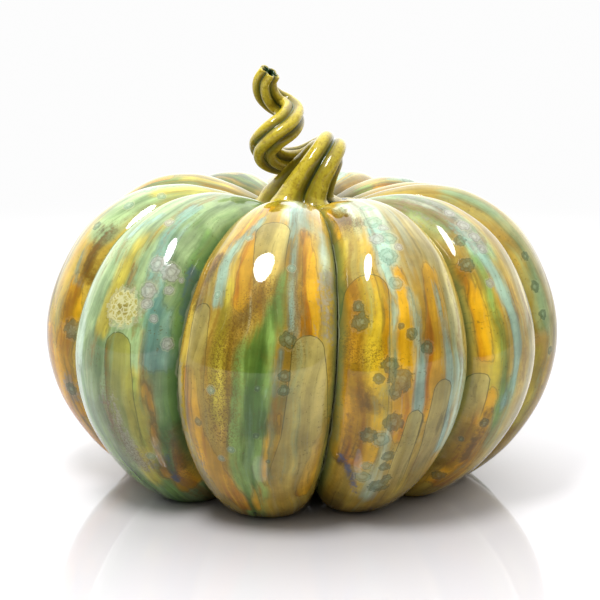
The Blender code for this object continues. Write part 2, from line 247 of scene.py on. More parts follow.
GLAZE_RUNS = (
    # Rib 9, at the far left.
    *runs(Wash.SAGE, 9, (14, 8, ((0.0, 0.1), (0.4, 0.22), (0.56, 0.3)))),
    *runs(Wash.GOLD, 9, (5, 5, ((0.4, 0.1), (0.53, 0.16), (0.45, 0.2))),
          (5, 5, ((0.1, 0.32), (0.2, 0.44)))),
    *runs(Wash.AMBER, 9, (4.5, 6, ((0.7, 0.39), (0.79, 0.45), (0.68, 0.52), (0.73, 0.6))),
          (7, 10, ((0.4, 0.48), (0.45, 0.6), (0.41, 0.7)))),
    *runs(Wash.SKY, 9, (2, 2.5, ((0.5, 0.33), (0.58, 0.36), (0.7, 0.39)))),
    *runs(Wash.UMBER, 9, (2.5, 2.5, ((0.7, 0.29), (0.73, 0.35), (0.81, 0.375))),
          (2, 1, ((0.6, 0.3), (0.66, 0.34)))),
    *runs(Wash.GREY, 9, (3, 3, ((0.7, 0.555), (0.75, 0.575)))),
    # Rib 10, left of the middle.
    *runs(Wash.SAGE, 10, (60, 60, ((0.0, 0.0), (0.0, 1.0)))),
    *runs(Wash.FOAM, 10,
          (4, 5, ((-0.8, 0.26), (-0.62, 0.36), (-0.45, 0.43), (-0.28, 0.5), (-0.25, 0.6)))),
    *runs(Wash.GOLD, 10, (2.5, 6, ((0.36, 0.265), (0.16, 0.32), (0.12, 0.36), (0.1, 0.43))),
          (4, 5, ((0.6, 0.5), (0.62, 0.6), (0.45, 0.68)))),
    *runs(Wash.AMBER, 10, (2.6, 3.2, ((0.2, 0.34), (0.32, 0.38))),
          (1.3, 2.6, ((0.68, 0.43), (0.73, 0.5), (0.78, 0.56), (0.66, 0.67))),
          (2.5, 5.5, ((0.96, 0.59), (0.9, 0.65), (0.84, 0.71)))),
    *runs(Wash.SKY, 10, (3, 8, ((0.46, 0.22), (0.44, 0.29), (0.6, 0.36), (0.76, 0.41), (0.82, 0.47))),
          (2, 2, ((0.64, 0.4), (0.72, 0.44), (0.8, 0.47))), (3, 3, ((0.0, 0.26), (-0.2, 0.3)))),
    *runs(Wash.LEAF, 10,
          (3, 5, ((0.86, 0.25), (0.95, 0.36), (0.95, 0.5), (0.9, 0.57), (0.66, 0.68), (0.3, 0.76))),
          (3, 8, ((-0.3, 0.5), (-0.12, 0.6), (0.15, 0.69))), (2, 3, ((0.56, 0.5), (0.58, 0.6)))),
    *runs(Wash.MOSS, 10, (0.4, 0.9, ((0.3, 0.435), (0.17, 0.475), (0.18, 0.53), (0.24, 0.58))),
          (0.6, 0.6, ((0.57, 0.45), (0.58, 0.5)))),
    *runs(Wash.INK, 10, (0.6, 0.8, ((0.92, 0.32), (0.98, 0.4))),
          (0.8, 0.8, ((0.8, 0.63), (0.76, 0.69)))),
    *runs(Wash.OLIVE, 10, (8.2, 9.5, ((0.36, 0.458), (0.4, 0.5), (0.4, 0.56), (0.36, 0.65)))),
    *runs(Wash.GREY, 10, (2.5, 5, ((0.22, 0.53), (0.3, 0.58), (0.42, 0.64)))),
    *runs(Wash.UMBER, 10, (0.8, 1.6, ((0.97, 0.58), (0.88, 0.67)))),
    *runs(Wash.DUST, 10, (3, 6, ((0.2, 0.52), (0.4, 0.64))), (3, 4, ((0.92, 0.6), (0.86, 0.69)))),
    # Rib 11, the middle one.
    *runs(Wash.FOAM, 11, (6, 6, ((0.25, 0.16), (0.42, 0.22), (0.58, 0.25))),
          (3, 2, ((0.75, 0.25), (0.84, 0.34)))),
    *runs(Wash.GOLD, 11, (5, 6, ((-0.36, 0.36), (-0.33, 0.44), (-0.29, 0.53))),
          (6, 5, ((-0.15, 0.15), (-0.2, 0.24)))),
    *runs(Wash.LEAF, 11, (3, 12, ((0.28, 0.34), (0.2, 0.4), (0.06, 0.45), (0.06, 0.52))),
          (11, 2, ((0.05, 0.53), (0.04, 0.6), (0.0, 0.68), (-0.03, 0.79))),
          (1.1, 1.3, ((0.41, 0.49), (0.38, 0.54), (0.29, 0.6), (0.18, 0.67)))),
    *runs(Wash.MOSS, 11, (1, 6, ((0.17, 0.44), (0.12, 0.5), (0.15, 0.55))),
          (1.6, 1.1, ((0.2, 0.53), (0.13, 0.6), (0.0, 0.7), (-0.03, 0.77)))),
    *runs(Wash.AMBER, 11, (3, 2.2, ((-0.18, 0.2), (-0.32, 0.25), (-0.56, 0.29), (-0.7, 0.33))),
          (4.5, 6, ((-0.16, 0.275), (-0.2, 0.32), (-0.17, 0.375))),
          (2.5, 6, ((0.5, 0.26), (0.56, 0.3), (0.6, 0.36), (0.61, 0.43))),
          (5, 7, ((-0.7, 0.48), (-0.6, 0.57), (-0.4, 0.63), (-0.1, 0.7))),
          (2, 2, ((0.31, 0.53), (0.2, 0.61), (0.1, 0.69))), (3.5, 5, ((0.93, 0.56), (0.7, 0.68)))),
    *runs(Wash.BRONZE, 11, (4, 3, ((0.12, 0.36), (0.02, 0.38), (-0.12, 0.41))),
          (2, 2, ((-0.22, 0.4), (-0.2, 0.46), (-0.15, 0.54)))),
    *runs(Wash.SKY, 11, (1.8, 2.2, ((-0.22, 0.24), (-0.36, 0.28), (-0.5, 0.33), (-0.48, 0.38))),
          (2.3, 2.0, ((0.3, 0.2), (0.33, 0.27), (0.39, 0.34), (0.42, 0.42))),
          (1.2, 1.6, ((0.35, 0.44), (0.32, 0.5)))),
    *runs(Wash.UMBER, 11, (1.2, 2.2, ((-0.6, 0.31), (-0.73, 0.355), (-0.76, 0.39)))),
    *runs(Wash.GREY, 11, (2.5, 2.5, ((0.82, 0.33), (0.87, 0.42))),
          (1.8, 2.5, ((-0.88, 0.48), (-0.84, 0.58), (-0.62, 0.68)))),
    *runs(Wash.TAN, 11, (9, 8, ((0.05, 0.268), (0.08, 0.3), (0.12, 0.35))),
          (8.8, 15, ((0.64, 0.443), (0.67, 0.5), (0.67, 0.57), (0.5, 0.68))),
          (5.6, 7, ((-0.64, 0.395), (-0.61, 0.44), (-0.6, 0.53)))),
    *runs(Wash.DUST, 11, (7, 9, ((0.1, 0.36), (-0.1, 0.4), (-0.28, 0.44), (-0.27, 0.56))),
          (2, 2, ((0.45, 0.35), (0.48, 0.45)))),
    # Rib 0, right of the middle.
    *runs(Wash.CREAM, 0, (9, 9, ((0.34, 0.14), (0.42, 0.24), (0.42, 0.31), (0.5, 0.36), (0.66, 0.44)))),
    *runs(Wash.FOAM, 0, (2.0, 1.4, ((0.2, 0.18), (0.14, 0.25), (-0.1, 0.37))),
          (1.5, 3.5, ((-0.34, 0.56), (-0.4, 0.62), (-0.38, 0.69)))),
    *runs(Wash.FOAM, 0, (9, 6, ((-0.3, 0.17), (-0.26, 0.24), (-0.3, 0.33)))),
    *runs(Wash.GOLD, 0, (3, 3, ((-0.88, 0.2), (-0.95, 0.32)))),
    *runs(Wash.SAGE, 0, (4, 5, ((0.52, 0.4), (0.6, 0.46), (0.77, 0.54), (0.92, 0.62)))),
    *runs(Wash.AMBER, 0, (4, 11, ((0.26, 0.345), (0.24, 0.38), (0.2, 0.43), (0.16, 0.52))),
          (4, 8, ((-0.24, 0.34), (-0.21, 0.42), (-0.14, 0.56))), (12, 13, ((-0.75, 0.5), (-0.72, 0.6))),
          (3, 5, ((-0.45, 0.38), (-0.46, 0.43), (-0.5, 0.48))), (3, 2, ((-0.98, 0.14), (-0.96, 0.24)))),
    *runs(Wash.STRAW, 0, (11.5, 15, ((-0.66, 0.365), (-0.7, 0.41), (-0.72, 0.5), (-0.7, 0.63)))),
    *runs(Wash.BRONZE, 0, (4, 6, ((-0.82, 0.475), (-0.62, 0.52))),
          (3, 3, ((-0.9, 0.18), (-0.78, 0.22), (-0.62, 0.235)))),
    *runs(Wash.SKY, 0,
          (1.6, 1.8, ((-0.12, 0.365), (-0.07, 0.415), (-0.03, 0.455), (0.0, 0.52), (0.05, 0.58))),
          (3.4, 1.2, ((-0.4, 0.26), (-0.34, 0.32), (-0.35, 0.37), (-0.32, 0.42), (-0.31, 0.49))),
          (0.9, 1.2, ((0.33, 0.36), (0.38, 0.44), (0.45, 0.5), (0.56, 0.61)))),
    *runs(Wash.FOAM, 0, (3, 4.5, ((0.58, 0.38), (0.66, 0.47), (0.74, 0.6)))),
    *runs(Wash.UMBER, 0, (1.2, 1.8, ((-0.82, 0.54), (-0.86, 0.63))),
          (1.0, 1.4, ((-0.64, 0.54), (-0.68, 0.61))), (1.5, 1.5, ((-0.72, 0.2), (-0.6, 0.24)))),
    *runs(Wash.MOSS, 0, (1.4, 1.4, ((-0.9, 0.335), (-0.98, 0.385)))),
    *runs(Wash.INK, 0, (1.4, 1.4, ((-0.8, 0.62), (-0.72, 0.635), (-0.63, 0.65), (-0.5, 0.685)))),
    *runs(Wash.TAN, 0, (6, 6.5, ((0.33, 0.507), (0.31, 0.55), (0.34, 0.6), (0.38, 0.7))),
          (4.4, 5.5, ((-0.03, 0.541), (-0.06, 0.6), (-0.01, 0.7)))),
    *runs(Wash.DUST, 0, (5, 5, ((-0.9, 0.17), (-0.66, 0.24))),
          (5, 6, ((-0.96, 0.42), (-0.8, 0.455), (-0.6, 0.45)))),
    # Rib 1, on the right.
    *runs(Wash.SAGE, 1, (12, 9, ((-0.5, 0.1), (-0.45, 0.2), (-0.42, 0.32))),
          (4, 4, ((-0.34, 0.52), (-0.4, 0.62)))),
    *runs(Wash.CREAM, 1, (5, 8, ((0.18, 0.34), (0.26, 0.42), (0.3, 0.5), (0.15, 0.62)))),
    *runs(Wash.GOLD, 1, (2.6, 4, ((-0.7, 0.355), (-0.63, 0.43), (-0.58, 0.5), (-0.62, 0.57)))),
    *runs(Wash.LEAF, 1, (1.0, 1.8, ((-0.66, 0.33), (-0.55, 0.42), (-0.46, 0.5), (-0.5, 0.58)))),
    *runs(Wash.AMBER, 1, (3.2, 3.4, ((-0.88, 0.33), (-0.85, 0.39), (-0.83, 0.475))),
          (1.2, 2.2, ((-0.14, 0.365), (-0.12, 0.43))),
          (5, 8, ((-0.74, 0.54), (-0.6, 0.62), (-0.5, 0.71)))),
    *runs(Wash.SKY, 1,
          (2.4, 3.2, ((-0.58, 0.27), (-0.42, 0.34), (-0.3, 0.4), (-0.26, 0.46), (-0.36, 0.55)))),
    *runs(Wash.GREY, 1, (6, 5, ((-0.5, 0.17), (-0.4, 0.24), (-0.36, 0.31)))),
    *runs(Wash.BRONZE, 1, (2.6, 1.6, ((-0.72, 0.28), (-0.82, 0.345))),
          (4, 5, ((-0.8, 0.6), (-0.72, 0.67)))),
    *runs(Wash.UMBER, 1, (1, 1.6, ((-0.66, 0.56), (-0.58, 0.65)))),
    *runs(Wash.TAN, 1, (4.4, 6, ((-0.84, 0.512), (-0.88, 0.58)))),
    # Rib 2, at the far right.
    *runs(Wash.SAGE, 2, (4, 5, ((-0.45, 0.2), (-0.56, 0.34), (-0.66, 0.46)))),
    *runs(Wash.CREAM, 2, (6, 6, ((-0.3, 0.3), (-0.45, 0.5)))),
    *runs(Wash.GOLD, 2, (4, 5, ((-0.85, 0.5), (-0.7, 0.62)))),
)

CRYSTALS = (
    *crystals(Bloom.LILAC, 10, (0.56, 0.335, 4.2), (0.75, 0.341, 5.0), (0.58, 0.374, 4.4),
              (0.61, 0.392, 3.2), (0.80, 0.366, 2.6), (0.88, 0.346, 1.6), (0.73, 0.41, 2.2),
              (0.91, 0.443, 3.4), (0.32, 0.268, 2.8)),
    *crystals(Bloom.LACE, 10, (0.32, 0.404, 9.5)),
    *crystals(Bloom.ICE, 10, (0.61, 0.626, 2.6), (-0.35, 0.5, 2.0)),
    *crystals(Bloom.MOSS, 9, (0.85, 0.462, 6.0), (0.73, 0.561, 4.0), (0.41, 0.304, 3.0)),
    *crystals(Bloom.ICE, 9, (-0.1, 0.285, 4.0), (0.16, 0.212, 5.0), (0.5, 0.25, 3.0), (0.6, 0.2, 2.6)),
    *crystals(Bloom.MOSS, 11, (0.41, 0.427, 4.4), (0.41, 0.476, 3.4), (0.41, 0.495, 3.0),
              (-0.56, 0.55, 2.6), (0.26, 0.602, 1.3), (0.13, 0.492, 1.5), (0.13, 0.56, 1.7)),
    *crystals(Bloom.ICE, 11, (-0.38, 0.499, 2.3), (-0.47, 0.369, 2.0), (-0.16, 0.585, 2.0),
              (-0.29, 0.602, 2.0), (-0.26, 0.279, 2.0), (0.38, 0.328, 2.2)),
    *crystals(Bloom.MOSS, 0, (-0.77, 0.38, 3.2), (-0.75, 0.402, 5.0), (-0.41, 0.464, 4.4),
              (-0.26, 0.486, 6.5), (-0.53, 0.483, 3.0), (-0.32, 0.503, 3.6), (-0.13, 0.425, 3.2),
              (0.07, 0.445, 3.6), (-0.26, 0.414, 1.7), (-0.29, 0.546, 5.5), (-0.56, 0.568, 4.4),
              (-0.26, 0.602, 3.6), (-0.26, 0.622, 3.2), (-0.23, 0.663, 5.6), (-0.16, 0.647, 3.2)),
    *crystals(Bloom.ICE, 0, (-0.41, 0.572, 4.4), (-0.5, 0.622, 3.0), (-0.5, 0.645, 4.4),
              (-0.29, 0.313, 5.0), (-0.33, 0.245, 5.0), (-0.2, 0.283, 4.4), (-0.27, 0.355, 3.6),
              (-0.24, 0.205, 4.0)),
    *crystals(Bloom.LILAC, 0, (-0.38, 0.281, 4.0), (-0.2, 0.261, 2.6), (-0.1, 0.3, 2.4)),
    *crystals(Bloom.MOSS, 1, (-0.66, 0.292, 3.6), (-0.77, 0.333, 4.0), (-0.71, 0.7, 4.0),
              (-0.61, 0.581, 3.0), (-0.81, 0.617, 1.8)),
    *crystals(Bloom.LILAC, 1, (-0.32, 0.242, 3.0), (-0.35, 0.272, 4.0), (-0.35, 0.297, 3.4),
              (-0.38, 0.319, 3.0), (-0.53, 0.371, 2.6)),
    *crystals(Bloom.MOSS, 2, (-0.63, 0.354, 3.0), (-0.71, 0.401, 3.4), (-0.71, 0.445, 3.0),
              (-0.56, 0.503, 2.6)),
)


def scattered_plan(ribs: tuple[int, ...], seed: int) -> tuple[list[Run], list[Crystal]]:
    """Lays runs and crystals by chance, for the ribs round the back.

    Args:
        ribs: The ribs' numbers.
        seed: Where the chance starts, so that every build is the same.

    Returns:
        The runs and the crystals.
    """
    chance = np.random.default_rng(seed)
    laid, grown = [], []
    counts = {
        Wash.SAGE: 2, Wash.GOLD: 2, Wash.AMBER: 3, Wash.TAN: 1, Wash.SKY: 2, Wash.LEAF: 3,
        Wash.STRAW: 1, Wash.CREAM: 1, Wash.MOSS: 2, Wash.BRONZE: 1, Wash.UMBER: 1, Wash.DUST: 2,
    }
    for rib in ribs:
        for wash, count in counts.items():
            for _ in range(count):
                across, down = chance.uniform(-0.9, 0.9), chance.uniform(0.08, 0.5)
                drift, length = chance.uniform(-0.12, 0.12), chance.uniform(0.15, 0.4)
                width = chance.uniform(2.0, 9.0) * MM
                places = ((across, down), (across + drift, down + length / 2), (across, down + length))
                laid.append(Run(wash, rib, places, width * 0.6, width * 1.2))
        for bloom, count in ((Bloom.LILAC, 2), (Bloom.MOSS, 3), (Bloom.ICE, 2)):
            across, down = chance.uniform(-0.6, 0.6), chance.uniform(0.2, 0.5)
            for _ in range(count):
                radius = chance.uniform(1.8, 5.0) * MM
                spot = (across + chance.uniform(-0.25, 0.25), down + chance.uniform(-0.06, 0.06))
                grown.append(Crystal(bloom, rib, *spot, radius))
    return laid, grown


# ------------------------------------------------------------------------------ shader tools


class Graph:
    """Adds nodes to one shader tree and links them."""

    def __init__(self, tree: bpy.types.NodeTree) -> None:
        """Keeps the tree that nodes are added to."""
        self.tree = tree

    def put(self, socket: Socket, value: object) -> None:
        """Links a socket to value where that is a socket, and otherwise sets it."""
        if isinstance(value, bpy.types.NodeSocket):
            self.tree.links.new(value, socket)
        elif isinstance(value, tuple) and len(value) == 3 and socket.type == "RGBA":
            socket.default_value = (*value, 1.0)
        else:
            socket.default_value = value

    def add(self, kind: str, inputs: dict, **settings: object) -> bpy.types.Node:
        """Adds a node.

        Args:
            kind: The node's type, without the word ShaderNode before it.
            inputs: A value or a socket for each input, by name or number.
            settings: The node's own properties.

        Returns:
            The node.
        """
        node = self.tree.nodes.new("ShaderNode" + kind)
        node.location = (180 * (len(self.tree.nodes) % 12), -220 * (len(self.tree.nodes) // 12))
        for name, setting in settings.items():
            setattr(node, name, setting)
        for name, value in inputs.items():
            self.put(node.inputs[name], value)
        return node

    def math(self, operation: str, *values: object, clamp: bool = False) -> Socket:
        """Adds a Math node and returns its value."""
        return self.add("Math", dict(enumerate(values)), operation=operation, use_clamp=clamp).outputs[0]

    def vector(self, operation: str, *values: object) -> Socket:
        """Adds a Vector Math node and returns its number for a length or distance, and else its vector."""
        node = self.add("VectorMath", dict(enumerate(values)), operation=operation)
        return node.outputs["Value" if operation in ("LENGTH", "DISTANCE", "DOT_PRODUCT") else "Vector"]

    def step(
        self, value: Socket, low: object, high: object, start: object = 0.0, end: object = 1.0
    ) -> Socket:
        """Adds a smooth step of value from start at low to end at high."""
        inputs = {"Value": value, "From Min": low, "From Max": high, "To Min": start, "To Max": end}
        return self.add("MapRange", inputs, interpolation_type="SMOOTHSTEP").outputs["Result"]

    def band(self, value: Socket, edges: tuple[object, object, object, object], peak: float = 1.0) -> Socket:
        """Adds a band: 0 up to the first edge, peak between the middle two, and 0 past the last."""
        start, begin, end, last = edges
        rise = self.step(value, start, begin)
        return self.math("MULTIPLY", rise, self.step(value, end, last, peak, 0.0))

    def blend(self, factor: object, under: object, over: object, kind: str = "MIX") -> Socket:
        """Adds a colour mix from under at factor 0 to over at factor 1."""
        inputs = {0: factor, 6: under, 7: over}
        return self.add("Mix", inputs, data_type="RGBA", blend_type=kind).outputs[2]

    def noise(self, vector: Socket, scale: object, detail: float = 3.0, roughness: float = 0.55) -> Socket:
        """Adds a noise texture and returns its value, near 0.5."""
        inputs = {"Vector": vector, "Scale": scale, "Detail": detail, "Roughness": roughness}
        return self.add("TexNoise", inputs).outputs["Fac"]

    def stirred(self, value: object, noise: Socket, reach: object) -> Socket:
        """Adds to value the noise's distance from its middle, times reach."""
        return self.math("MULTIPLY_ADD", self.math("SUBTRACT", noise, 0.5), reach, value)

    def field(self, name: str) -> Socket:
        """Adds a mesh attribute and returns its number."""
        return self.add("Attribute", {}, attribute_name=name).outputs["Fac"]

    def field_vector(self, name: str) -> Socket:
        """Adds a mesh attribute and returns its vector."""
        return self.add("Attribute", {}, attribute_name=name).outputs["Vector"]

    def place(self, group: bpy.types.NodeTree, **inputs: object) -> dict[str, Socket]:
        """Places a shader group with its own values and returns its outputs by name."""
        named = {name.replace("_", " "): value for name, value in inputs.items()}
        node = self.add("Group", {}, node_tree=group)
        for name, value in named.items():
            self.put(node.inputs[name], value)
        return {socket.name: socket for socket in node.outputs}


class GlazeGroups:
    """The shader groups that the finishes share, each built once."""

    def __init__(self) -> None:
        """Builds every group."""
        self.streaks = self._streaks()
        self.run = self._run()
        self.bloom = self._bloom()
        self.specks = self._specks()
        self.ripple = self._ripple()

    @staticmethod
    def _start(name: str, inputs: dict[str, object], outputs: dict[str, str]) -> tuple[Graph, dict, dict]:
        """Starts a group.

        Args:
            name: The group's name.
            inputs: Each input's name with its usual value: a number, a colour, or None for a vector.
            outputs: Each output's name with Float, Color or Vector.

        Returns:
            Its graph, the sockets that bring its inputs, and the sockets that take its outputs.
        """
        tree = bpy.data.node_groups.new(name, "ShaderNodeTree")
        for label, value in inputs.items():
            kind = "Vector" if value is None else "Color" if isinstance(value, tuple) else "Float"
            socket = tree.interface.new_socket(label, in_out="INPUT", socket_type="NodeSocket" + kind)
            if kind == "Float":
                socket.default_value = value
            elif kind == "Color":
                socket.default_value = (*value, 1.0)
        for label, kind in outputs.items():
            tree.interface.new_socket(label, in_out="OUTPUT", socket_type="NodeSocket" + kind)
        first = tree.nodes.new("NodeGroupInput")
        last = tree.nodes.new("NodeGroupOutput")
        brought = {socket.name: socket for socket in first.outputs if socket.name}
        taken = {socket.name: socket for socket in last.inputs if socket.name}
        return Graph(tree), brought, taken

    def _streaks(self) -> bpy.types.NodeTree:
        """Noise drawn out along the way the glaze flowed."""
        graph, given, out = self._start(
            "streaks", {"Flow": None, "Scale": 90.0, "Stretch": 0.12, "Seed": 0.0, "Mottle": 0.08},
            {"Value": "Float"}
        )
        broad = {"Vector": given["Flow"], "Scale": 26.0, "Detail": 1.0}
        drift = graph.add("TexNoise", broad).outputs["Color"]
        bent = graph.vector("MULTIPLY_ADD", drift, (0.012, 0.012, 0.0), given["Flow"])
        parts = graph.add("SeparateXYZ", {0: bent})
        down = graph.math("MULTIPLY", parts.outputs[2], given["Stretch"])
        shifted = graph.math("ADD", down, given["Seed"])
        vector = graph.add("CombineXYZ", {0: parts.outputs[0], 1: parts.outputs[1], 2: shifted}).outputs[0]
        drawn = graph.noise(vector, given["Scale"], 5.0, 0.56)
        fine = graph.noise(given["Flow"], 420.0, 4.0, 0.65)
        mottled = graph.math("MULTIPLY", graph.math("SUBTRACT", fine, 0.5), given["Mottle"])
        graph.put(out["Value"], graph.math("ADD", drawn, mottled))
        return graph.tree

    def _run(self) -> bpy.types.NodeTree:
        """A wash of colour laid over another where its field says, with an edge broken up by noise."""
        graph, given, out = self._start(
            "glaze_run",
            {"Under": (0.5, 0.5, 0.5), "Wash": (0.5, 0.5, 0.5), "Field": 0.0, "Noise": 0.5, "Ragged": 0.3,
             "Edge": 0.1, "Strength": 1.0},
            {"Colour": "Color", "Mask": "Float", "Outline": "Float"},
        )
        moved = graph.stirred(given["Field"], given["Noise"], given["Ragged"])
        low = graph.math("SUBTRACT", 0.5, given["Edge"])
        high = graph.math("ADD", 0.5, given["Edge"])
        mask = graph.math("MULTIPLY", graph.step(moved, low, high), given["Strength"])
        near = graph.math("MULTIPLY", given["Edge"], 0.6)
        low = graph.math("SUBTRACT", 0.5, graph.math("MINIMUM", near, 0.03))
        high = graph.math("ADD", 0.5, graph.math("MINIMUM", near, 0.03))
        outline = graph.band(moved, (low, 0.5, 0.5, high))
        graph.put(out["Colour"], graph.blend(mask, given["Under"], given["Wash"]))
        graph.put(out["Mask"], mask)
        graph.put(out["Outline"], outline)
        return graph.tree

    def _bloom(self) -> bpy.types.NodeTree:
        """The disc, the rim and the pale core of a crystal, from the distance to its middle in radii."""
        graph, given, out = self._start(
            "crystal_bloom", {"Distance": 9.0, "Noise": 0.5, "Ragged": 0.25},
            {"Disc": "Float", "Rim": "Float", "Ring": "Float", "Core": "Float", "Halo": "Float"},
        )
        wobble = graph.math("MULTIPLY", graph.math("SUBTRACT", given["Noise"], 0.5), given["Ragged"])
        distance = graph.math("ADD", given["Distance"], wobble)
        graph.put(out["Disc"], graph.step(distance, 0.88, 1.08, 1.0, 0.0))
        graph.put(out["Rim"], graph.band(distance, (0.82, 0.92, 0.98, 1.1)))
        graph.put(out["Ring"], graph.band(distance, (0.42, 0.5, 0.54, 0.64)))
        graph.put(out["Core"], graph.step(distance, 0.15, 0.5, 1.0, 0.0))
        graph.put(out["Halo"], graph.band(distance, (1.0, 1.1, 1.12, 1.3)))
        return graph.tree

    def _specks(self) -> bpy.types.NodeTree:
        """Small dark or pale specks, gathered in drifts."""
        graph, given, out = self._start(
            "fine_specks", {"Vector": None, "Scale": 900.0, "Drift": 60.0, "Share": 0.5}, {"Mask": "Float"}
        )
        grain = graph.noise(given["Vector"], given["Scale"], 2.0, 0.5)
        drift = graph.noise(given["Vector"], given["Drift"], 2.0, 0.5)
        level = graph.math("MULTIPLY_ADD", drift, given["Share"], graph.math("SUBTRACT", grain, 0.5))
        graph.put(out["Mask"], graph.step(level, 0.3, 0.42))
        return graph.tree

    def _ripple(self) -> bpy.types.NodeTree:
        """The faint unevenness of a glaze that has flowed: broad swells and fine orange peel."""
        graph, given, out = self._start(
            "glaze_ripple", {"Vector": None, "Broad": 22.0, "Fine": 260.0, "Fineness": 0.12},
            {"Height": "Float"},
        )
        broad = graph.noise(given["Vector"], given["Broad"], 1.0, 0.4)
        fine = graph.noise(given["Vector"], given["Fine"], 1.0, 0.4)
        graph.put(out["Height"], graph.math("MULTIPLY_ADD", fine, given["Fineness"], broad))
        return graph.tree


def new_material(name: str) -> tuple[bpy.types.Material, Graph, bpy.types.Node]:
    """Makes a material.

    Args:
        name: The material's name.

    Returns:
        The material, its graph and its Principled BSDF.
    """
    made = bpy.data.materials.new(name)
    made.use_nodes = True
    return made, Graph(made.node_tree), made.node_tree.nodes["Principled BSDF"]


def set_glass_coat(shader: bpy.types.Node, index: float) -> None:
    """Sets what every glaze shares: no metal, and the refractive index of its glassy surface."""
    shader.inputs["Metallic"].default_value = 0.0
    shader.inputs["IOR"].default_value = index


# ------------------------------------------------------------------------------ finishes


@dataclass(frozen=True)
class WashLook:
    """How one colour of glaze lies.

    Attributes:
        thin: Its colour where it is thin.
        thick: Its colour where it is thick.
        edge: How soft its edge is.
        ragged: How far its edge wanders.
        strength: How much it hides what is under it.
        scale: The scale of its streaks.
        mottle: How grainy its streaks are.
        outline: How dark the line round it is.
        fades: Whether it fades toward its lower end.
    """

    thin: Colour
    thick: Colour
    edge: float
    ragged: float
    strength: float
    scale: float = 110.0
    mottle: float = 0.08
    outline: float = 0.0
    fades: bool = False


@dataclass(frozen=True)
class BloomLook:
    """A kind of crystal: the colours of its disc, rim and core, and how strong each of its marks is."""

    disc: Colour
    rim: Colour
    core: Colour
    strength: float
    ragged: float
    needles: float
    halo: float


WASHES: dict[Wash, WashLook] = {
    Wash.SAGE: WashLook((0.26, 0.38, 0.17), (0.13, 0.23, 0.09), 0.20, 0.8, 0.92),
    Wash.FOAM: WashLook((0.38, 0.50, 0.38), (0.22, 0.33, 0.22), 0.20, 0.9, 0.8),
    Wash.CREAM: WashLook((0.46, 0.40, 0.14), (0.30, 0.25, 0.06), 0.20, 0.8, 0.85),
    Wash.GOLD: WashLook((0.50, 0.41, 0.04), (0.27, 0.22, 0.012), 0.16, 0.8, 0.88),
    Wash.LEAF: WashLook((0.17, 0.31, 0.07), (0.05, 0.13, 0.02), 0.16, 0.8, 0.9, outline=0.15),
    Wash.AMBER: WashLook((0.56, 0.30, 0.008), (0.36, 0.13, 0.002), 0.10, 0.7, 0.94, outline=0.4),
    Wash.SKY: WashLook((0.26, 0.42, 0.32), (0.12, 0.25, 0.20), 0.10, 0.8, 0.85, outline=0.25),
    Wash.MOSS: WashLook((0.05, 0.11, 0.016), (0.02, 0.05, 0.006), 0.12, 0.7, 0.9),
    Wash.STRAW: WashLook(
        (0.47, 0.33, 0.015), (0.36, 0.17, 0.004), 0.03, 0.12, 0.88, 60.0, outline=0.9, fades=True
    ),
    Wash.TAN: WashLook(
        (0.42, 0.35, 0.10), (0.30, 0.24, 0.05), 0.03, 0.12, 0.9, 60.0, outline=0.9, fades=True
    ),
    Wash.OLIVE: WashLook(
        (0.23, 0.22, 0.03), (0.14, 0.13, 0.012), 0.03, 0.12, 0.85, 60.0, outline=0.9, fades=True
    ),
    Wash.BRONZE: WashLook((0.24, 0.14, 0.006), (0.13, 0.06, 0.003), 0.16, 0.9, 0.8, mottle=0.6),
    Wash.UMBER: WashLook((0.10, 0.055, 0.012), (0.05, 0.025, 0.006), 0.10, 0.6, 0.85, 140.0, 0.4),
    Wash.GREY: WashLook((0.27, 0.26, 0.20), (0.16, 0.14, 0.10), 0.14, 1.0, 0.7, 150.0, 0.9),
    Wash.INK: WashLook((0.06, 0.10, 0.19), (0.02, 0.04, 0.12), 0.07, 0.4, 0.85, 200.0, 0.6),
}

BLOOMS: dict[Bloom, BloomLook] = {
    Bloom.LACE: BloomLook((0.36, 0.31, 0.07), (0.58, 0.56, 0.30), (0.20, 0.14, 0.01), 0.85, 1.1, 0.75, 0.5),
    Bloom.ICE: BloomLook((0.24, 0.35, 0.23), (0.09, 0.14, 0.08), (0.38, 0.48, 0.34), 0.6, 0.9, 0.25, 0.4),
    Bloom.LILAC: BloomLook((0.37, 0.37, 0.31), (0.19, 0.17, 0.13), (0.46, 0.47, 0.38), 0.68, 1.0, 0.3, 0.35),
    Bloom.MOSS: BloomLook((0.09, 0.14, 0.07), (0.02, 0.04, 0.015), (0.18, 0.26, 0.15), 0.62, 1.3, 0.45, 0.1),
}


@dataclass(frozen=True)
class Vein:
    """Fine streaks of one colour: where in their noise they begin and are full, and how strong."""

    colour: Colour
    scale: float
    stretch: float
    seed: float
    begin: float
    full: float
    strength: float
    mottle: float = 0.08


VEINS = (
    Vein((0.22, 0.10, 0.005), 90.0, 0.1, 37.0, 0.57, 0.68, 0.5, mottle=0.2),
    Vein((0.19, 0.33, 0.17), 100.0, 0.06, 41.0, 0.58, 0.7, 0.35),
    Vein((0.45, 0.44, 0.24), 280.0, 0.04, 43.0, 0.62, 0.74, 0.3),
    Vein((0.08, 0.07, 0.01), 240.0, 0.03, 47.0, 0.61, 0.7, 0.45),
)


